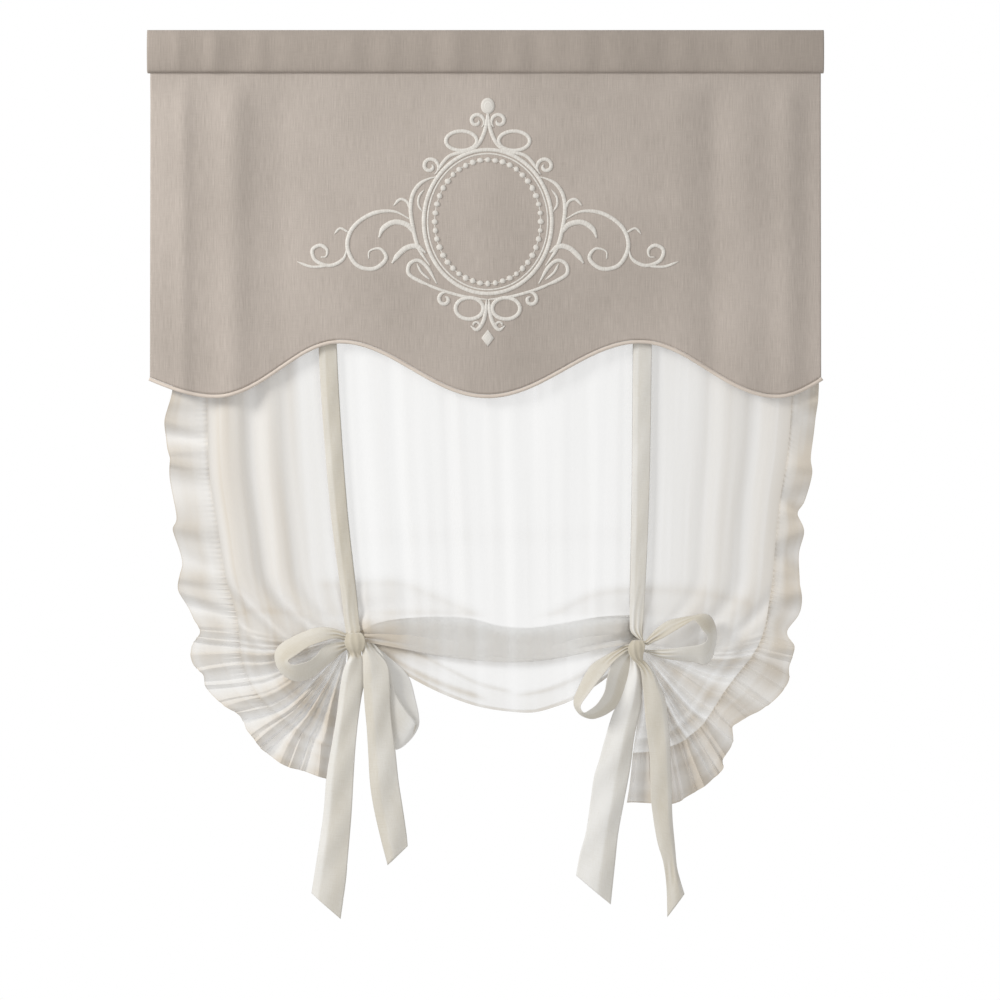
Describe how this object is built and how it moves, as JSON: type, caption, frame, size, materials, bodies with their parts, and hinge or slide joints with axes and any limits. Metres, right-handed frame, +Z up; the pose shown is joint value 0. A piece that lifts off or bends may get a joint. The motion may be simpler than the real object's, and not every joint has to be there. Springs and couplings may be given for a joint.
{
  "type": "tie-up curtain",
  "caption": "Window curtain: linen valance with an embroidered cartouche over a voile panel drawn up by two ribbon bows, with gathered side frills.",
  "frame": {"origin": "middle of the rod pocket, on the rod's axis", "axes": "+X along the rod to the viewer's right, +Z up, the front of the curtain faces -Y"},
  "size_m": [1.2, 0.0681, 1.5755],
  "materials": {
    "header_linen": "matt woven linen",
    "valance_linen": "matt woven linen",
    "piping": "matt cotton cord",
    "thread": "satin stitch thread",
    "voile": "sheer voile",
    "ruffle_voile": "sheer voile",
    "ribbon": "soft woven ribbon"
  },
  "bodies": {
    "root": {"header_band": "header_linen", "valance_panel": "valance_linen", "valance_piping": "piping", "embroidery": "thread", "embroidered_beads": "thread", "voile_panel": "voile", "left_ruffle": "ruffle_voile", "right_ruffle": "ruffle_voile", "left_front_ribbon": "ribbon", "left_back_ribbon": "ribbon", "right_front_ribbon": "ribbon", "right_back_ribbon": "ribbon"}
  },
  "joints": []
}
